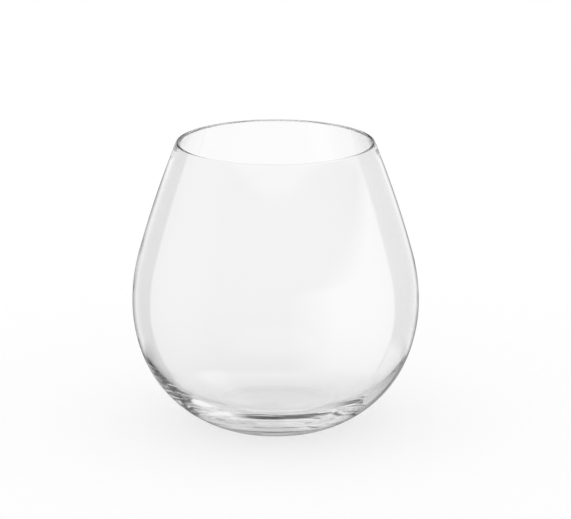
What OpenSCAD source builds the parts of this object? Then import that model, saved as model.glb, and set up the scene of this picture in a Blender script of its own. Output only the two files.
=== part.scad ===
// Stemless wine glass: one body of revolution about Z, standing on the table at z = 0.
// Every curve of its section is an arc tangent to its neighbours. The arcs that close on the lip, the heel and the floor
// take their radii from what they meet, so one size can change and the section still closes.

/* [Overall] */
// Height of the glass, from the table to the top of the lip
height = 100; // [85:0.5:116]
// Diameter of the glass at its widest, across the belly
belly_d = 100; // [85:0.5:116]
// Height of the widest point above the table
belly_z = 43; // [36:0.5:50]

/* [Rim] */
// Diameter of the rim, at the middle of the lip
rim_d = 67.6; // [57:0.1:79]
// Thickness of the fire-polished lip
lip_t = 1.3; // [0.9:0.1:2]
// Height of the rim band, with its lip
rim_h = 5; // [3:0.5:12]

/* [Bowl] */
// Thickness of the blown wall at the belly
wall_t = 1.2; // [0.8:0.1:2]
// Outer radius of the section's curve just above the belly
shoulder_r = 65.5; // [54:0.5:82]
// Outer radius of the section's curve just below the belly
under_r = 52; // [43:0.5:62]
// Height at which that curve hands over to the one that leads down to the heel
side_z = 25.2; // [20:0.2:31]
// Height below which the inner skin leaves the outer one, so that the wall thickens towards the base
corner_z = 28; // [23:0.5:34]

/* [Base] */
// Height of the thick base zone above the table
base_h = 10; // [7.5:0.5:16]
// Height of the inner floor above the table, at the axis
floor_z = 5.8; // [4.5:0.1:7]
// Radius of the low dome that the inner floor rises to
dome_r = 120; // [80:5:300]
// Outer diameter of the flat ring that touches the table
foot_d = 40; // [34:0.5:46]
// Width of that ring
ring_w = 3; // [1.5:0.25:6]
// Radius of the heel that rounds the ring up into the side
heel_r = 8; // [5:0.5:12]
// Depth of the hollow under the base, at the axis
punt_h = 1; // [0.4:0.1:2]

/* [Hidden] */
glass_tint = [0.9, 0.93, 0.94];
clear_share = 0.35;
turn_steps = 180;
// How far a chord of the section may stray from its arc
arc_sag = 0.01;
// How far a zone's cut runs past the end of the glass
overrun = 1;

belly_r = belly_d / 2;
foot_r = foot_d / 2;
hollow_r = foot_r - ring_w;
lip_r = lip_t / 2;
rim_z = height - rim_h;

// Unit vector at an angle in the section
function heading(a) = [cos(a), sin(a)];

// Angle of the line from one point of the section to another
function bearing(from, to) = atan2(to.y - from.y, to.x - from.x);

// Radius of the arc that leaves a point of the section, at the angle of its normal there, and ends tangent to a circle.
// The circle's radius is negative where the arc passes outside the circle's far side.
function closing_r(start, a, circle_c, circle_r) =
    let (gap = start - circle_c)
    (gap * gap - circle_r * circle_r) / (2 * (gap * heading(a) - circle_r));

// Points of an arc, all but its last, which the next arc starts with
function arc_points(centre, radius, from, to) =
    let (steps = ceil(abs(to - from) / (2 * acos(1 - arc_sag / radius))))
    [for (i = [0 : steps - 1]) centre + radius * heading(from + (to - from) * i / steps)];

// The hollow under the base, an arc through the ring's inner edge and its own depth at the axis
punt_r = (hollow_r * hollow_r + punt_h * punt_h) / (2 * punt_h);
punt_c = [0, punt_h - punt_r];

// Outer skin below the belly: one arc down to the side's start, and one that closes on the heel
heel_c = [foot_r, heel_r];
under_c = [belly_r - under_r, belly_z];
side_a = -asin((belly_z - side_z) / under_r);
side_start = under_c + under_r * heading(side_a);
side_r = closing_r(side_start, side_a, heel_c, heel_r);
side_c = side_start - side_r * heading(side_a);
heel_a = bearing(side_c, heel_c);

// Outer skin above the belly: the shoulder turns until it is parallel to the line from the middle of the belly's wall
// to the middle of the lip, and the nearly straight flank closes on the lip
lip_c = [rim_d / 2, height - lip_r];
shoulder_c = [belly_r - shoulder_r, belly_z];
shoulder_a = bearing([belly_r - wall_t / 2, belly_z], lip_c) - 90;
flank_start = shoulder_c + shoulder_r * heading(shoulder_a);
flank_r = closing_r(flank_start, shoulder_a, lip_c, lip_r);
flank_c = flank_start - flank_r * heading(shoulder_a);
flank_a = bearing(flank_c, lip_c);

// Inner skin above the belly, a wall's thickness inside the shoulder
inner_shoulder_r = shoulder_r - wall_t;
inner_flank_start = shoulder_c + inner_shoulder_r * heading(shoulder_a);
inner_flank_r = closing_r(inner_flank_start, shoulder_a, lip_c, -lip_r);
inner_flank_c = inner_flank_start - inner_flank_r * heading(shoulder_a);
inner_flank_a = bearing(inner_flank_c, lip_c);

// Inner skin below the belly: it leaves the wall's thickness at the corner's start and closes on the domed floor
inner_under_r = under_r - wall_t;
dome_c = [0, floor_z - dome_r];
corner_a = -asin((belly_z - corner_z) / inner_under_r);
corner_start = under_c + inner_under_r * heading(corner_a);
corner_r = closing_r(corner_start, corner_a, dome_c, -dome_r);
corner_c = corner_start - corner_r * heading(corner_a);

// The section, out along the underside, up the outer skin, over the lip and down the inner skin to the axis
glass_outline = concat(
    arc_points(punt_c, punt_r, 90, bearing(punt_c, [hollow_r, 0])),
    [[hollow_r, 0]],
    arc_points(heel_c, heel_r, -90, heel_a),
    arc_points(side_c, side_r, heel_a, side_a),
    arc_points(under_c, under_r, side_a, 0),
    arc_points(shoulder_c, shoulder_r, 0, shoulder_a),
    arc_points(flank_c, flank_r, shoulder_a, flank_a),
    arc_points(lip_c, lip_r, flank_a, 90),
    arc_points(lip_c, lip_r, 90, inner_flank_a + 180),
    arc_points(inner_flank_c, inner_flank_r, inner_flank_a, shoulder_a),
    arc_points(shoulder_c, inner_shoulder_r, shoulder_a, 0),
    arc_points(under_c, inner_under_r, 0, corner_a),
    arc_points(corner_c, corner_r, corner_a, bearing(corner_c, dome_c)),
    arc_points(dome_c, dome_r, bearing(dome_c, corner_c), 90),
    [[0, floor_z]]
);

// The turned glass between two heights
module zone(from_z, to_z) {
    color(glass_tint, clear_share)
        rotate_extrude($fn = turn_steps)
            intersection() {
                polygon(glass_outline);
                translate([0, from_z])
                    square([belly_d, to_z - from_z]);
            }
}

// Fire-polished lip on the last of the thin wall
module rim() {
    zone(rim_z, height + overrun);
}

// Wall that draws in from the belly to the rim
module upper_bowl() {
    zone(belly_z, rim_z);
}

// Wall that rounds down from the belly and thickens towards the base
module lower_bowl() {
    zone(base_h, belly_z);
}

// Thick base: domed floor above, hollow and contact ring below
module base() {
    zone(-overrun, base_h);
}

rim();
upper_bowl();
lower_bowl();
base();
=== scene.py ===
# %% [markdown]
# # A stemless wine glass
# This is one piece of clear glass, blown in a turning mould. A thin bowl draws in to a fire-polished lip,
# and thickens downwards into a heavy base with a shallow hollow underneath. There is nothing else to
# model, so the lesson is about three things: one section, one material, and the light that makes clear
# glass visible.
#
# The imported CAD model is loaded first, as a fixed frame. Everything below is in metres, in that frame:
# the table is at z = 0, and the glass stands on the Z axis.

import math

import bpy
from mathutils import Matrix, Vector
from mathutils.bvhtree import BVHTree


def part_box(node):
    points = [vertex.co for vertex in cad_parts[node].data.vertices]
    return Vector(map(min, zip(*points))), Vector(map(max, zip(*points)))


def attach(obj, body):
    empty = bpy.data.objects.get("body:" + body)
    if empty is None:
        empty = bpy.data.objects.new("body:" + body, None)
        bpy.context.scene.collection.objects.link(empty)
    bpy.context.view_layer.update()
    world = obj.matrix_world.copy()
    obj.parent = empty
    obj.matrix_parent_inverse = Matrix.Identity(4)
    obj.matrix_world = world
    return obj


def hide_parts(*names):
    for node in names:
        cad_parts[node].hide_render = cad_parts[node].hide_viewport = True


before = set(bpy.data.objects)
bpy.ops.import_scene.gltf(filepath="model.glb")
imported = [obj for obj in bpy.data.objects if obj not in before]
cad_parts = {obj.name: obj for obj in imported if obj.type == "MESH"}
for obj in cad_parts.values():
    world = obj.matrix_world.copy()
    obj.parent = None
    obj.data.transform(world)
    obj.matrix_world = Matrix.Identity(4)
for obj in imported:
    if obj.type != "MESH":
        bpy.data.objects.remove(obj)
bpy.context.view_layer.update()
MM = 0.001

# %% [markdown]
# ## Sizes
# A turned shape is settled by its section, as on a maker's drawing. The overall sizes are read from the
# frame's own boxes, so that the mesh can't drift from the CAD model. The rest are the glass's
# thicknesses, heights and radii.

# %% Overall sizes, from the frame
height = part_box("rim")[1].z
belly_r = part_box("upper_bowl")[1].x
belly_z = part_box("upper_bowl")[0].z
print("height, belly radius, belly height, mm:", [round(x / MM, 2) for x in (height, belly_r, belly_z)])

# %% Sizes of the section
rim_r = 33.8 * MM
lip_t = 1.3 * MM
wall_t = 1.2 * MM
shoulder_r = 65.5 * MM
under_r = 52 * MM
side_z = 25.2 * MM
corner_z = 28 * MM
floor_z = 5.8 * MM
dome_r = 120 * MM
foot_r = 20 * MM
ring_w = 3 * MM
heel_r = 8 * MM
punt_h = 1 * MM
lip_r = lip_t / 2
hollow_r = foot_r - ring_w
print("wall, lip and floor, mm:", [round(x / MM, 2) for x in (wall_t, lip_t, floor_z)])

# %% [markdown]
# ## The section
# A blown wall has no corners, so every curve of the section runs tangent into the next. It could be drawn
# as a spline by eye, but glass is unforgiving: a bulge of a tenth of a millimetre bends the reflections.
# A chain of arcs stays clean. Most arcs have a radius of their own, and those that close on the lip, the
# heel or the floor take theirs from what they meet.


# %% Helpers for tangent arcs
def heading(angle):
    return Vector((math.cos(angle), math.sin(angle)))


def bearing(start, end):
    step = end - start
    return math.atan2(step.y, step.x)


def closing_radius(start, angle, circle_centre, circle_r):
    """Radius of the arc that leaves start, with its normal at angle, and ends tangent to a circle."""
    gap = start - circle_centre
    return (gap.dot(gap) - circle_r**2) / (2 * (gap.dot(heading(angle)) - circle_r))


# %% Underside: the hollow, the heel, and the outer skin up to the belly
punt_r = (hollow_r**2 + punt_h**2) / (2 * punt_h)
punt_c = Vector((0, punt_h - punt_r))
heel_c = Vector((foot_r, heel_r))
under_c = Vector((belly_r - under_r, belly_z))
side_a = -math.asin((belly_z - side_z) / under_r)
side_start = under_c + under_r * heading(side_a)
side_r = closing_radius(side_start, side_a, heel_c, heel_r)
side_c = side_start - side_r * heading(side_a)
heel_a = bearing(side_c, heel_c)
print("hollow and side radius, mm:", round(punt_r / MM, 2), round(side_r / MM, 2))

# %% Outer skin from the belly to the lip
lip_c = Vector((rim_r, height - lip_r))
shoulder_c = Vector((belly_r - shoulder_r, belly_z))
shoulder_a = bearing(Vector((belly_r - wall_t / 2, belly_z)), lip_c) - math.pi / 2
flank_start = shoulder_c + shoulder_r * heading(shoulder_a)
flank_r = closing_radius(flank_start, shoulder_a, lip_c, lip_r)
flank_c = flank_start - flank_r * heading(shoulder_a)
flank_a = bearing(flank_c, lip_c)
print("flank radius, mm:", round(flank_r / MM, 2))

# %% Inner skin from the lip to the belly
inner_shoulder_r = shoulder_r - wall_t
inner_flank_start = shoulder_c + inner_shoulder_r * heading(shoulder_a)
inner_flank_r = closing_radius(inner_flank_start, shoulder_a, lip_c, -lip_r)
inner_flank_c = inner_flank_start - inner_flank_r * heading(shoulder_a)
inner_flank_a = bearing(inner_flank_c, lip_c)
print("inner flank radius, mm:", round(inner_flank_r / MM, 2))

# %% Inner skin from the belly to the domed floor, where it leaves the outer skin and the wall thickens
inner_under_r = under_r - wall_t
dome_c = Vector((0, floor_z - dome_r))
corner_a = -math.asin((belly_z - corner_z) / inner_under_r)
corner_start = under_c + inner_under_r * heading(corner_a)
corner_r = closing_radius(corner_start, corner_a, dome_c, -dome_r)
corner_c = corner_start - corner_r * heading(corner_a)
print("corner radius, mm:", round(corner_r / MM, 2))

# %% The chain: each arc's centre, radius, and the angles that it starts and ends at
section = {
    "punt": (punt_c, punt_r, math.pi / 2, bearing(punt_c, Vector((hollow_r, 0)))),
    "heel": (heel_c, heel_r, -math.pi / 2, heel_a),
    "side": (side_c, side_r, heel_a, side_a),
    "under": (under_c, under_r, side_a, 0),
    "shoulder": (shoulder_c, shoulder_r, 0, shoulder_a),
    "flank": (flank_c, flank_r, shoulder_a, flank_a),
    "outer lip": (lip_c, lip_r, flank_a, math.pi / 2),
    "inner lip": (lip_c, lip_r, math.pi / 2, inner_flank_a + math.pi),
    "inner flank": (inner_flank_c, inner_flank_r, inner_flank_a, shoulder_a),
    "inner shoulder": (shoulder_c, inner_shoulder_r, shoulder_a, 0),
    "inner under": (under_c, inner_under_r, 0, corner_a),
    "corner": (corner_c, corner_r, corner_a, bearing(corner_c, dome_c)),
    "dome": (dome_c, dome_r, bearing(dome_c, corner_c), math.pi / 2),
}
for name, (centre, radius, start, end) in section.items():
    sweep = math.degrees(end - start)
    print(f"{name}: radius {radius / MM:.2f} mm, turns {sweep:.1f} degrees")

# %% [markdown]
# ## A tree that turns the section
# A Screw modifier or the Spin tool could turn the section too. Geometry Nodes do it here, because every
# arc stays a node with named inputs: change a radius in the modifier, and the glass follows. Each arc is
# a curve, a line closes the contact ring, and Curve to Mesh carries them all round a circle. Merge by
# Distance then welds the strips to each other, closes the seam, and joins each pole on the axis to one
# point.


# %% Add a node, with its settings and links
def add(tree, kind, inputs=None, **settings):
    node = tree.nodes.new(kind)
    for name, value in settings.items():
        setattr(node, name, value)
    for socket, value in (inputs or {}).items():
        if isinstance(value, bpy.types.NodeSocket):
            tree.links.new(value, node.inputs[socket])
        else:
            node.inputs[socket].default_value = value
    return node


# %% Start the tree, and keep the value of each named input
turning = bpy.data.node_groups.new("turned glass", "GeometryNodeTree")
turning.is_modifier = True
turning.interface.new_socket("Geometry", in_out="OUTPUT", socket_type="NodeSocketGeometry")
values = {}


def size_input(name, kind, value):
    socket = turning.interface.new_socket(name, in_out="INPUT", socket_type=kind)
    values[socket.identifier] = value
    return name


# %% Inputs: five for each arc, then the contact ring, the rail and the glass
# A degree is fine enough: on the flattest arc, the flank, the facets stray 0.014 mm from the curve, and
# smooth shading hides them. The lip is so small that a coarser step does.
ARC_STEP = math.radians(1)
LIP_STEP = math.radians(7.5)
TURN_STEPS = 288

arc_names = []
for name, (centre, radius, start, end) in section.items():
    step = LIP_STEP if radius == lip_r else ARC_STEP
    arc_names.append((
        size_input(f"{name} centre", "NodeSocketVector", (*centre, 0.0)),
        size_input(f"{name} radius", "NodeSocketFloat", radius),
        size_input(f"{name} start", "NodeSocketFloat", float(start)),
        size_input(f"{name} sweep", "NodeSocketFloat", float(end - start)),
        size_input(f"{name} points", "NodeSocketInt", math.ceil(abs(end - start) / step) + 1),
    ))
ring_start = size_input("ring inner edge", "NodeSocketVector", (hollow_r, 0.0, 0.0))
ring_end = size_input("ring outer edge", "NodeSocketVector", (foot_r, 0.0, 0.0))
rail_radius = size_input("rail radius", "NodeSocketFloat", belly_r)
rail_steps = size_input("turn steps", "NodeSocketInt", TURN_STEPS)
rail_shift = size_input("rail shift", "NodeSocketVector", (-belly_r, 0.0, 0.0))
glass_name = size_input("glass", "NodeSocketMaterial", None)
print("inputs of the tree:", len(values))

# %% Curves of the section
sizes = add(turning, "NodeGroupInput").outputs
strips = add(turning, "GeometryNodeJoinGeometry")
for centre, radius, start, sweep, points in arc_names:
    arc = add(turning, "GeometryNodeCurveArc", {
        "Resolution": sizes[points],
        "Radius": sizes[radius],
        "Start Angle": sizes[start],
        "Sweep Angle": sizes[sweep],
    })
    placed = add(turning, "GeometryNodeTransform", {"Geometry": arc.outputs[0], "Translation": sizes[centre]})
    turning.links.new(placed.outputs[0], strips.inputs[0])
contact_ring = add(turning, "GeometryNodeCurvePrimitiveLine", {
    "Start": sizes[ring_start],
    "End": sizes[ring_end],
})
turning.links.new(contact_ring.outputs[0], strips.inputs[0])
print("curves in the section:", len(strips.inputs[0].links))

# %% Turn the curves, weld them and face them outwards
# Curve to Mesh lays the section's x along the rail's normal and its y along -Z, so the section is first
# moved to the rail and turned over.
WELD = 0.001 * MM

shifted = add(turning, "GeometryNodeTransform", {
    "Geometry": strips.outputs[0],
    "Translation": sizes[rail_shift],
})
upright = add(turning, "GeometryNodeTransform", {"Geometry": shifted.outputs[0], "Rotation": (math.pi, 0, 0)})
rail = add(turning, "GeometryNodeCurvePrimitiveCircle", {
    "Resolution": sizes[rail_steps],
    "Radius": sizes[rail_radius],
})
level_rail = add(turning, "GeometryNodeSetCurveNormal", {"Curve": rail.outputs[0]}, mode="Z_UP")
turned = add(turning, "GeometryNodeCurveToMesh", {
    "Curve": level_rail.outputs[0],
    "Profile Curve": upright.outputs[0],
})
welded = add(turning, "GeometryNodeMergeByDistance", {"Geometry": turned.outputs[0], "Distance": WELD})
outward = add(turning, "GeometryNodeFlipFaces", {"Mesh": welded.outputs[0]})
smooth = add(turning, "GeometryNodeSetShadeSmooth", {"Geometry": outward.outputs[0]})
realized = add(turning, "GeometryNodeRealizeInstances", {"Geometry": smooth.outputs[0]})
dressed = add(turning, "GeometryNodeSetMaterial", {
    "Geometry": realized.outputs[0],
    "Material": sizes[glass_name],
})
add(turning, "NodeGroupOutput", {"Geometry": dressed.outputs[0]})
print("turning tree:", len(turning.nodes), "nodes")

# %% [markdown]
# ## Soda-lime glass, blown and fire-polished
# Drinking glasses are soda-lime glass: clear, with an index of refraction of about 1.52. The flame that
# rounds the lip leaves a skin with no roughness, so what the eye gets is sharp reflections on a body
# without colour. A perfect skin looks like computer glass, though. A glass that turns in its mould while
# it is blown keeps faint level streaks, plainest low down, where the glass is thick, and its wall is
# never quite even. Both could be modelled, but they are only hundredths of a millimetre deep, so a bump
# does it. Their depth is worked out from the slope that light should meet.


# %% Colours from sRGB hex
def linear(hex_colour):
    shares = [int(hex_colour[i : i + 2], 16) / 255 for i in (1, 3, 5)]
    return (*[s / 12.92 if s <= 0.04045 else ((s + 0.055) / 1.055) ** 2.4 for s in shares], 1.0)


WHITE = linear("#FFFFFF")
print("white, linear:", WHITE)

# %% Clear glass, on the shader's own sockets
clear_glass = bpy.data.materials.new("soda_lime_glass_fire_polished")
clear_glass.use_nodes = True
shader = clear_glass.node_tree.nodes["Principled BSDF"]
shader.inputs["Base Color"].default_value = WHITE
shader.inputs["Roughness"].default_value = 0.0
shader.inputs["IOR"].default_value = 1.52
shader.inputs["Transmission Weight"].default_value = 1.0
print("material:", clear_glass.name)

# %% Uneven wall: soft, wide waves
WAVE_WIDE = 25 * MM
WAVE_SLOPE = math.radians(0.1375)

tree = clear_glass.node_tree
where = add(tree, "ShaderNodeTexCoord")
waves = add(tree, "ShaderNodeTexNoise", {
    "Vector": where.outputs["Object"],
    "Scale": 1 / WAVE_WIDE,
    "Detail": 0.0,
})
uneven = add(tree, "ShaderNodeBump", {
    "Height": waves.outputs[0],
    "Distance": WAVE_WIDE * math.tan(WAVE_SLOPE),
})
print("waves, depth in mm:", round(WAVE_WIDE * math.tan(WAVE_SLOPE) / MM, 4))

# %% Streaks of the turning mould: long and level, full over the base, and gone below the belly
STREAK_LONG = 30 * MM
STREAK_HIGH = 2.2 * MM
STREAK_SLOPE = math.radians(0.52)
STREAKS_FULL = 14 * MM
STREAKS_END = 32 * MM

stretched = add(tree, "ShaderNodeMapping", {
    "Vector": where.outputs["Object"],
    "Scale": (1 / STREAK_LONG, 1 / STREAK_LONG, 1 / STREAK_HIGH),
})
streaks = add(tree, "ShaderNodeTexNoise", {"Vector": stretched.outputs[0], "Scale": 1.0, "Detail": 2.0})
place = add(tree, "ShaderNodeSeparateXYZ", {0: where.outputs["Object"]})
low_down = add(tree, "ShaderNodeMapRange", {
    "Value": place.outputs["Z"],
    "From Min": STREAKS_END,
    "From Max": STREAKS_FULL,
})
faded = add(tree, "ShaderNodeMath", {0: streaks.outputs[0], 1: low_down.outputs[0]}, operation="MULTIPLY")
streaky = add(tree, "ShaderNodeBump", {
    "Height": faded.outputs[0],
    "Distance": STREAK_HIGH * math.tan(STREAK_SLOPE),
    "Normal": uneven.outputs[0],
})
tree.links.new(streaky.outputs[0], shader.inputs["Normal"])
print("streaks, depth in mm:", round(STREAK_HIGH * math.tan(STREAK_SLOPE) / MM, 4))

# %% [markdown]
# ## One turned mesh
# The tree now gets its values, by each socket's identifier, and the result is taken as a plain mesh. That
# mesh is the whole glass, with no seams between the CAD model's four zones, because clear glass would
# show every inner face. So it stands in for all four solids, and rides on the one body that they share.

# %% Turn the glass
glass = bpy.data.objects.new("glass", bpy.data.meshes.new("glass"))
bpy.context.scene.collection.objects.link(glass)
lathe = glass.modifiers.new("lathe", "NODES")
lathe.node_group = turning
for identifier, value in values.items():
    lathe[identifier] = value
for socket in turning.interface.items_tree:
    if socket.name == glass_name:
        lathe[socket.identifier] = clear_glass
evaluated = glass.evaluated_get(bpy.context.evaluated_depsgraph_get())
turned_mesh = bpy.data.meshes.new_from_object(evaluated)
glass.modifiers.remove(lathe)
glass.data = turned_mesh
turned_mesh.calc_loop_triangles()
print("glass:", len(turned_mesh.loop_triangles), "triangles,", [m.name for m in turned_mesh.materials])

# %% Hand it to the frame
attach(glass, "root")
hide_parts("rim", "upper_bowl", "lower_bowl", "base")
print("glass stands in for:", list(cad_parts))

# %% [markdown]
# ## Is it the same glass?
# Two measures tell. A closed mesh that faces outwards has a positive volume, the sum of the small
# pyramids from the origin to each triangle. And every corner point of the CAD solids should lie on the
# mesh, to within a facet.

# %% Volume
volume = 0.0
for triangle in turned_mesh.loop_triangles:
    a, b, c = (turned_mesh.vertices[i].co for i in triangle.vertices)
    volume += a.dot(b.cross(c)) / 6
print("volume, mm3:", round(volume / MM**3, 1))

# %% Distance of the CAD solids' points from the mesh
skin = BVHTree.FromPolygons([v.co for v in turned_mesh.vertices], [p.vertices for p in turned_mesh.polygons])
for node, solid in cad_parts.items():
    off = max(skin.find_nearest(v.co)[3] for v in solid.data.vertices)
    print(node, "farthest CAD point from the glass, mm:", round(off / MM, 4))

# %% [markdown]
# ## Camera
# The photograph looks down on the rim a little, through a long lens. How round the rim's ellipse is gives
# the tilt, and the outline gives the framing. The distance can't be seen, so 1.1 m is assumed, and the
# focal length follows from it. A lens shift could place the glass off the middle of the picture. Aiming a
# little beside it does the same here, and leaves the lens plain.

# %% Lens
IMAGE_W = 571
SENSOR_W = 36.0
FOCAL_PX = 3152.0

lens = bpy.data.cameras.new("camera")
lens.sensor_width = SENSOR_W
lens.lens = FOCAL_PX * SENSOR_W / IMAGE_W
print("focal length, mm:", round(lens.lens, 1))

# %% Place and aim
DISTANCE = 1.1
TILT = math.radians(15.87)
AIM_RIGHT_PX = 9.9
AIM_UP_PX = 21.32

scene = bpy.context.scene
camera = bpy.data.objects.new("camera", lens)
scene.collection.objects.link(camera)
middle = Vector((0, 0, height / 2))
right = Vector((1, 0, 0))
up = Vector((0, math.sin(TILT), math.cos(TILT)))
camera.location = middle + DISTANCE * Vector((0, -math.cos(TILT), math.sin(TILT)))
aim = middle + DISTANCE / FOCAL_PX * (AIM_RIGHT_PX * right + AIM_UP_PX * up)
camera.rotation_euler = (aim - camera.location).to_track_quat("-Z", "Y").to_euler()
scene.camera = camera
print("camera at, m:", [round(x, 3) for x in camera.location])

# %% [markdown]
# ## White paper
# Glass is photographed on white paper, so that it shows as a drawing in grey lines. The paper has to stay
# white right up to the glass. One way is more light, but that would burn out the glass too. Here the
# paper has a white glow of its own, at a strength of 1, and only a share of its white comes from the
# light that falls on it. That share is what the glass can shade, so the shadow stays, soft and faint. The
# paper lies a hair below the contact ring, because two faces in one plane make a render flicker between
# them.
#
# What clear glass mirrors is another matter. In front of an even white room it would vanish, so studios
# stand dark and bright panels round it. The Light Path node tells such light apart: its Glossy Depth
# counts mirrorings. Light that only passed through the glass sees white paper. Light that was mirrored
# passes the paper, and sees the panels.

# %% Light that was mirrored
# Light inside a thin wall can be mirrored many times before it leaves, so the render must follow it that
# far.
BOUNCES = 128
BETWEEN_COUNTS = 0.5

scene.view_settings.view_transform = "Standard"
scene.cycles.max_bounces = BOUNCES
scene.cycles.transmission_bounces = BOUNCES
scene.cycles.glossy_bounces = BOUNCES


def mirrored_light(tree, path):
    """1 where light was mirrored on its way to the camera, and 0 for the light that falls on the paper."""
    # The paper's own light has a Diffuse Depth, which takes the count far below zero.
    count = add(tree, "ShaderNodeMath", {
        0: path.outputs["Diffuse Depth"],
        1: -BOUNCES,
        2: path.outputs["Glossy Depth"],
    }, operation="MULTIPLY_ADD")
    return add(tree, "ShaderNodeMath", {
        0: count.outputs[0],
        1: BETWEEN_COUNTS,
    }, operation="GREATER_THAN").outputs[0]


print("bounces:", scene.cycles.max_bounces)

# %% Paper
PAPER_HALF = 3.0
PAPER_DROP = 0.05 * MM
SHADED_SHARE = 0.35

paper_mesh = bpy.data.meshes.new("floor")
corners = [(x * PAPER_HALF, y * PAPER_HALF, -PAPER_DROP) for x, y in ((-1, -1), (1, -1), (1, 1), (-1, 1))]
paper_mesh.from_pydata(corners, [], [(0, 1, 2, 3)])
floor = bpy.data.objects.new("floor", paper_mesh)
scene.collection.objects.link(floor)

paper = bpy.data.materials.new("white_paper_sweep")
paper.use_nodes = True
tree = paper.node_tree
tree.nodes.clear()
glow = add(tree, "ShaderNodeEmission", {"Color": WHITE, "Strength": 1.0})
matt = add(tree, "ShaderNodeBsdfDiffuse", {"Color": WHITE})
white = add(tree, "ShaderNodeMixShader", {0: SHADED_SHARE, 1: glow.outputs[0], 2: matt.outputs[0]})
clear = add(tree, "ShaderNodeBsdfTransparent")
mirrored = mirrored_light(tree, add(tree, "ShaderNodeLightPath"))
surface = add(tree, "ShaderNodeMixShader", {0: mirrored, 1: white.outputs[0], 2: clear.outputs[0]})
add(tree, "ShaderNodeOutputMaterial", {"Surface": surface.outputs[0]})
paper_mesh.materials.append(paper)
print("paper, m across:", 2 * PAPER_HALF)

# %% [markdown]
# ## Panels round the glass
# Each panel is a patch of the world, named as in a studio, and most draw something that can be pointed
# to. The two softboxes end sharply where the grey bands down the sides begin. The backdrop keeps the
# bands pale, and the card in front of it draws the thin dark outline. The gap between the two backdrops
# is the dark arc in front of the glass's floor, and the upper light is the glare beside it. The lit part
# of the table whitens the lower left, and a painted shadow on the table, a dark strip where the glass's
# shadow would fall, gives the lower sides their crescents.
# The ceiling and the rest of the table keep the inside pale. Area lamps could do the same, but they would
# stand in the picture when the camera goes round the glass.

# %% Panels: left, right, lower and upper edge, how softly the left and right edge fade, and brightness
# Angles are in degrees. Azimuth starts behind the glass and grows to the right. A brightness of 1 is
# white.
PANELS = {
    "left softbox": (-130, -59, -99, 28, 68, 2, 0.65),
    "right softbox": (69, 170, -99, 12, 2, 40, 0.90),
    "backdrop": (-59, 69, -25, 13, 30, 40, 0.95),
    "upper backdrop": (-64, 58, 22, 40, 3, 3, 0.95),
    "upper light": (14, 56, 10, 26, 12, 3, 1.00),
    "outline card": (-30, 24, -25, -9, 24, 18, 0.15),
    "pale table": (-200, 200, -99, -42, 1, 1, 0.70),
    "lit table on the left": (-135, -95, -75, -42, 10, 10, 1.10),
    "table to the right": (20, 69, -42, -25, 6, 2, 0.75),
    # Painted shadow: a dark strip of table beside and below the glass, where its shadow would fall, seen only
    # by mirrored light.
    "painted shadow on the table": (-46, 20, -99, -25, 22, 16, 0.10),
    "ceiling": (-200, 200, 28, 99, 1, 1, 0.95),
}
DIM_ROOM = 0.06
FADE = 5
print("panels:", ", ".join(PANELS))

# %% The room: each panel laid over those before it
world = bpy.data.worlds.new("studio")
world.use_nodes = True
scene.world = world
tree = world.node_tree
tree.nodes.clear()
where = add(tree, "ShaderNodeTexCoord")
axes = add(tree, "ShaderNodeSeparateXYZ", {0: where.outputs["Generated"]})
azimuth = add(tree, "ShaderNodeMath", {0: axes.outputs["X"], 1: axes.outputs["Y"]}, operation="ARCTAN2")
elevation = add(tree, "ShaderNodeMath", {0: axes.outputs["Z"]}, operation="ARCSINE")
room = DIM_ROOM
for left, right, lower, upper, left_fade, right_fade, brightness in PANELS.values():
    cover = 1.0
    for angle, edge, fade in (
        (azimuth, left, left_fade),
        (azimuth, right, -right_fade),
        (elevation, lower - FADE / 2, FADE),
        (elevation, upper + FADE / 2, -FADE),
    ):
        inside = add(tree, "ShaderNodeMapRange", {
            "Value": angle.outputs[0],
            "From Min": math.radians(edge),
            "From Max": math.radians(edge + fade),
        })
        cover = add(tree, "ShaderNodeMath", {0: cover, 1: inside.outputs[0]}, operation="MULTIPLY").outputs[0]
    room = add(tree, "ShaderNodeMix", {"Factor": cover, "A": room, "B": brightness}).outputs[0]
print("nodes of the room:", len(tree.nodes))

# %% White for what is seen directly or through the glass, the room for what is mirrored
# The far wall mirrors the room once more, and would double every edge. Light that has crossed more than
# two skins sees an even grey in its place.
SKINS_OF_THE_NEAR_WALL = 2
FAR_WALL_GREY = 0.65

path = add(tree, "ShaderNodeLightPath")
far_wall = add(tree, "ShaderNodeMath", {
    0: path.outputs["Transmission Depth"],
    1: SKINS_OF_THE_NEAR_WALL + BETWEEN_COUNTS,
}, operation="GREATER_THAN")
seen = add(tree, "ShaderNodeMix", {"Factor": far_wall.outputs[0], "A": room, "B": FAR_WALL_GREY})
strength = add(tree, "ShaderNodeMix", {"Factor": mirrored_light(tree, path), "A": 1.0, "B": seen.outputs[0]})
sky = add(tree, "ShaderNodeBackground", {"Color": WHITE, "Strength": strength.outputs[0]})
add(tree, "ShaderNodeOutputWorld", {"Surface": sky.outputs[0]})
world.cycles.sampling_method = "NONE"
print("world:", world.name, "with", len(tree.nodes), "nodes")
